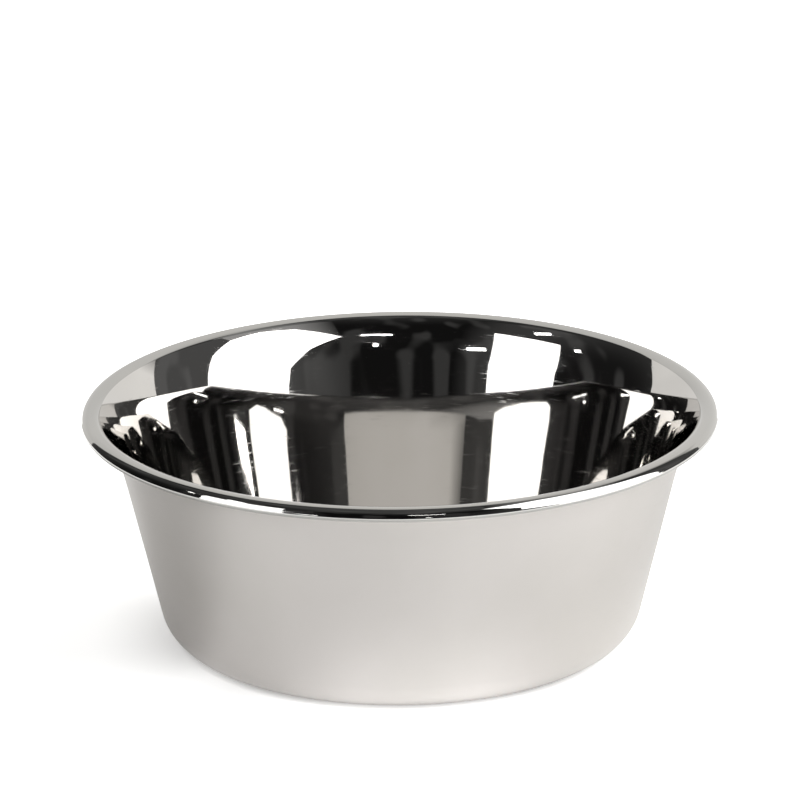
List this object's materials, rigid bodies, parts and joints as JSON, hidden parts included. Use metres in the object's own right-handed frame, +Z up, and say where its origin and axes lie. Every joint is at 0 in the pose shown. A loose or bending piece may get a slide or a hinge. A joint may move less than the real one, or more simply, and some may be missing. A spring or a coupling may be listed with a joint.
{
  "type": "dog bowl",
  "caption": "Round stainless steel dog bowl with a leaning side wall that opens out in a throat, a rounded rim that turns down into a curled hollow bead, and a raised base panel inside a foot ring.",
  "frame": {"origin": "on the bowl's axis, in the plane of the foot ring that it stands on", "axes": "+Z up along the bowl's axis, towards the rim; the bowl is round, so X and Y are any two directions square to it"},
  "size_m": [0.245, 0.245, 0.092],
  "materials": {
    "wall_steel": "mirror polish inside, fine satin outside",
    "rim_steel": "mirror polish"
  },
  "bodies": {
    "root": {"base": "wall_steel", "side_wall": "wall_steel", "rim_flange": "rim_steel", "rolled_bead": "rim_steel"}
  },
  "joints": []
}
